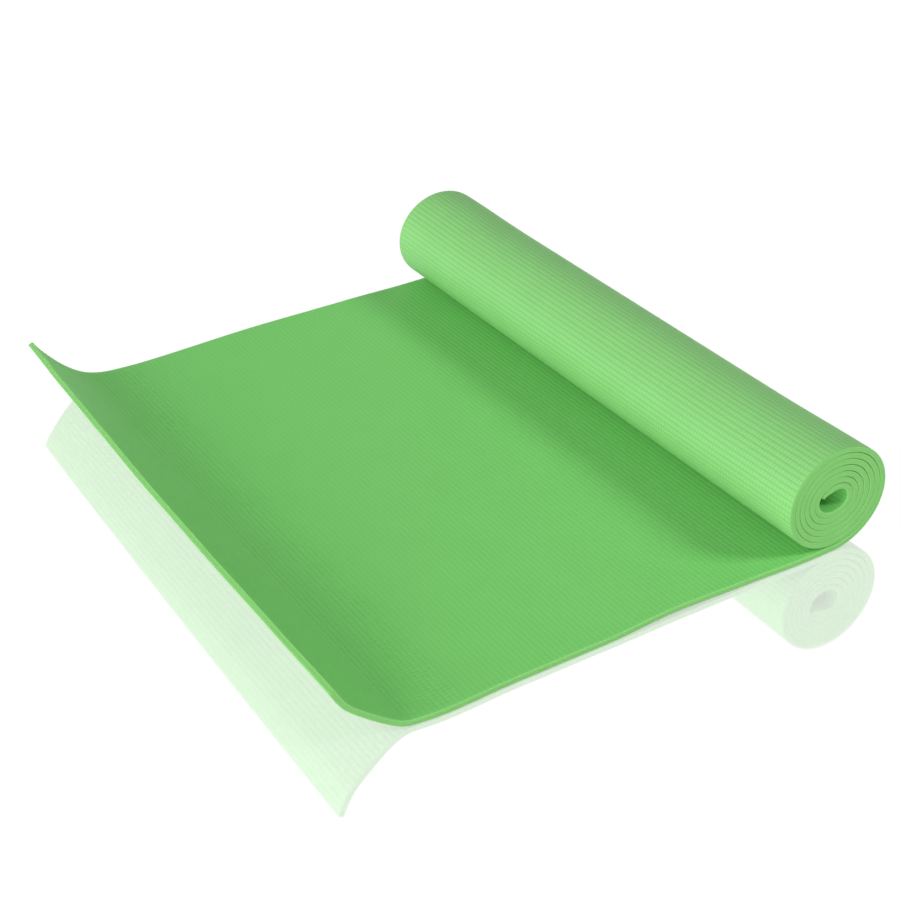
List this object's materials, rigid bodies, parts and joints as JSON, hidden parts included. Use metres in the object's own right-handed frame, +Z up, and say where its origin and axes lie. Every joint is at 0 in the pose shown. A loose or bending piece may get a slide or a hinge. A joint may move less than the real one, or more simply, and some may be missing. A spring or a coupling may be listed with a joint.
{
  "type": "yoga mat",
  "caption": "Foam exercise mat, half unrolled: a flat stretch that runs into a loose roll, with its free end curled up off the floor.",
  "frame": {"origin": "on the floor, under the middle of the whole mat as it lies", "axes": "+X along the mat from its free end to its roll, +Y across the mat along the roll's axis, +Z up"},
  "size_m": [0.502, 0.61, 0.0946],
  "materials": {
    "top_foam": "matt, ribbed closed-cell PVC foam",
    "scrim": "open polyester mesh",
    "base_foam": "matt, ribbed closed-cell PVC foam"
  },
  "bodies": {
    "flat_run": {"flat_run_base_foam": "base_foam", "flat_run_scrim": "scrim", "flat_run_top_foam": "top_foam"},
    "turn_strip_01": {"turn_strip_01_base_foam": "base_foam", "turn_strip_01_scrim": "scrim", "turn_strip_01_top_foam": "top_foam"},
    "turn_strip_02": {"turn_strip_02_base_foam": "base_foam", "turn_strip_02_scrim": "scrim", "turn_strip_02_top_foam": "top_foam"},
    "turn_strip_03": {"turn_strip_03_base_foam": "base_foam", "turn_strip_03_scrim": "scrim", "turn_strip_03_top_foam": "top_foam"},
    "turn_strip_04": {"turn_strip_04_base_foam": "base_foam", "turn_strip_04_scrim": "scrim", "turn_strip_04_top_foam": "top_foam"},
    "turn_strip_05": {"turn_strip_05_base_foam": "base_foam", "turn_strip_05_scrim": "scrim", "turn_strip_05_top_foam": "top_foam"},
    "turn_strip_06": {"turn_strip_06_base_foam": "base_foam", "turn_strip_06_scrim": "scrim", "turn_strip_06_top_foam": "top_foam"},
    "turn_strip_07": {"turn_strip_07_base_foam": "base_foam", "turn_strip_07_scrim": "scrim", "turn_strip_07_top_foam": "top_foam"},
    "turn_strip_08": {"turn_strip_08_base_foam": "base_foam", "turn_strip_08_scrim": "scrim", "turn_strip_08_top_foam": "top_foam"},
    "turn_strip_09": {"turn_strip_09_base_foam": "base_foam", "turn_strip_09_scrim": "scrim", "turn_strip_09_top_foam": "top_foam"},
    "turn_strip_10": {"turn_strip_10_base_foam": "base_foam", "turn_strip_10_scrim": "scrim", "turn_strip_10_top_foam": "top_foam"},
    "turn_strip_11": {"turn_strip_11_base_foam": "base_foam", "turn_strip_11_scrim": "scrim", "turn_strip_11_top_foam": "top_foam"},
    "turn_strip_12": {"turn_strip_12_base_foam": "base_foam", "turn_strip_12_scrim": "scrim", "turn_strip_12_top_foam": "top_foam"},
    "rolled_core": {"rolled_core_base_foam": "base_foam", "rolled_core_scrim": "scrim", "rolled_core_top_foam": "top_foam"},
    "fold_strip": {"fold_strip_base_foam": "base_foam", "fold_strip_scrim": "scrim", "fold_strip_top_foam": "top_foam"},
    "end_strip_1": {"end_strip_1_base_foam": "base_foam", "end_strip_1_scrim": "scrim", "end_strip_1_top_foam": "top_foam"},
    "end_strip_2": {"end_strip_2_base_foam": "base_foam", "end_strip_2_scrim": "scrim", "end_strip_2_top_foam": "top_foam"},
    "end_strip_3": {"end_strip_3_base_foam": "base_foam", "end_strip_3_scrim": "scrim", "end_strip_3_top_foam": "top_foam"},
    "end_strip_4": {"end_strip_4_base_foam": "base_foam", "end_strip_4_scrim": "scrim", "end_strip_4_top_foam": "top_foam"}
  },
  "joints": [
    {"name": "flex_01", "type": "hinge", "parent": "flat_run", "child": "turn_strip_01", "pos_m": [0.20088, 0, 0], "axis": [0, 1, 0], "range_deg": [0, 15.16]},
    {"name": "flex_02", "type": "hinge", "parent": "turn_strip_01", "child": "turn_strip_02", "pos_m": [0.22641, 0, 0.00692], "axis": [0, 1, 0], "range_deg": [0, 29.16]},
    {"name": "flex_03", "type": "hinge", "parent": "turn_strip_02", "child": "turn_strip_03", "pos_m": [0.24471, 0, 0.02479], "axis": [0, 1, 0], "range_deg": [0, 30.87]},
    {"name": "flex_04", "type": "hinge", "parent": "turn_strip_03", "child": "turn_strip_04", "pos_m": [0.25102, 0, 0.04867], "axis": [0, 1, 0], "range_deg": [0, 31.79]},
    {"name": "flex_05", "type": "hinge", "parent": "turn_strip_04", "child": "turn_strip_05", "pos_m": [0.24387, 0, 0.07209], "axis": [0, 1, 0], "range_deg": [0, 30.82]},
    {"name": "flex_06", "type": "hinge", "parent": "turn_strip_05", "child": "turn_strip_06", "pos_m": [0.22539, 0, 0.08885], "axis": [0, 1, 0], "range_deg": [0, 29.04]},
    {"name": "flex_07", "type": "hinge", "parent": "turn_strip_06", "child": "turn_strip_07", "pos_m": [0.20068, 0, 0.09463], "axis": [0, 1, 0], "range_deg": [0, 28.22]},
    {"name": "flex_08", "type": "hinge", "parent": "turn_strip_07", "child": "turn_strip_08", "pos_m": [0.17642, 0, 0.08811], "axis": [0, 1, 0], "range_deg": [0, 29.05]},
    {"name": "flex_09", "type": "hinge", "parent": "turn_strip_08", "child": "turn_strip_09", "pos_m": [0.15903, 0, 0.07126], "axis": [0, 1, 0], "range_deg": [0, 30.91]},
    {"name": "flex_10", "type": "hinge", "parent": "turn_strip_09", "child": "turn_strip_10", "pos_m": [0.15301, 0, 0.04877], "axis": [0, 1, 0], "range_deg": [0, 31.95]},
    {"name": "flex_11", "type": "hinge", "parent": "turn_strip_10", "child": "turn_strip_11", "pos_m": [0.15974, 0, 0.02672], "axis": [0, 1, 0], "range_deg": [0, 30.96]},
    {"name": "flex_12", "type": "hinge", "parent": "turn_strip_11", "child": "turn_strip_12", "pos_m": [0.17717, 0, 0.01098], "axis": [0, 1, 0], "range_deg": [0, 29.07]},
    {"name": "unroll", "type": "hinge", "parent": "turn_strip_12", "child": "rolled_core", "pos_m": [0.20048, 0, 0.0056], "axis": [0, 1, 0], "range_deg": [0, 14.11]},
    {"name": "end_lift", "type": "hinge", "parent": "flat_run", "child": "fold_strip", "pos_m": [-0.15712, 0, 0.0045], "axis": [0, 1, 0], "range_deg": [0, 144]},
    {"name": "end_press", "type": "hinge", "parent": "fold_strip", "child": "end_strip_1", "pos_m": [-0.18712, 0, 0], "axis": [0, -1, 0], "range_deg": [0, 8.75], "stiffness_Nm_per_rad": 2, "springref_deg": -0.69},
    {"name": "end_press_2", "type": "hinge", "parent": "end_strip_1", "child": "end_strip_2", "pos_m": [-0.20065, 0, 0.00208], "axis": [0, -1, 0], "range_deg": [0, 17.5], "stiffness_Nm_per_rad": 2, "springref_deg": -0.69},
    {"name": "end_press_3", "type": "hinge", "parent": "end_strip_2", "child": "end_strip_3", "pos_m": [-0.21293, 0, 0.00814], "axis": [0, -1, 0], "range_deg": [0, 15.75], "stiffness_Nm_per_rad": 2, "springref_deg": -0.69},
    {"name": "end_press_4", "type": "hinge", "parent": "end_strip_3", "child": "end_strip_4", "pos_m": [-0.23467, 0, 0.02771], "axis": [0, -1, 0], "range_deg": [0, 14], "stiffness_Nm_per_rad": 2, "springref_deg": -0.69}
  ],
  "couplings": [
    {"joint": "flex_01", "follows": "unroll", "ratio": 1.0743},
    {"joint": "flex_02", "follows": "unroll", "ratio": 2.0663},
    {"joint": "flex_03", "follows": "unroll", "ratio": 2.1869},
    {"joint": "flex_04", "follows": "unroll", "ratio": 2.252},
    {"joint": "flex_05", "follows": "unroll", "ratio": 2.1837},
    {"joint": "flex_06", "follows": "unroll", "ratio": 2.0578},
    {"joint": "flex_07", "follows": "unroll", "ratio": 1.9991},
    {"joint": "flex_08", "follows": "unroll", "ratio": 2.0586},
    {"joint": "flex_09", "follows": "unroll", "ratio": 2.1901},
    {"joint": "flex_10", "follows": "unroll", "ratio": 2.264},
    {"joint": "flex_11", "follows": "unroll", "ratio": 2.1935},
    {"joint": "flex_12", "follows": "unroll", "ratio": 2.0595},
    {"joint": "end_press_2", "follows": "end_press", "ratio": 2},
    {"joint": "end_press_3", "follows": "end_press", "ratio": 1.8},
    {"joint": "end_press_4", "follows": "end_press", "ratio": 1.6}
  ]
}
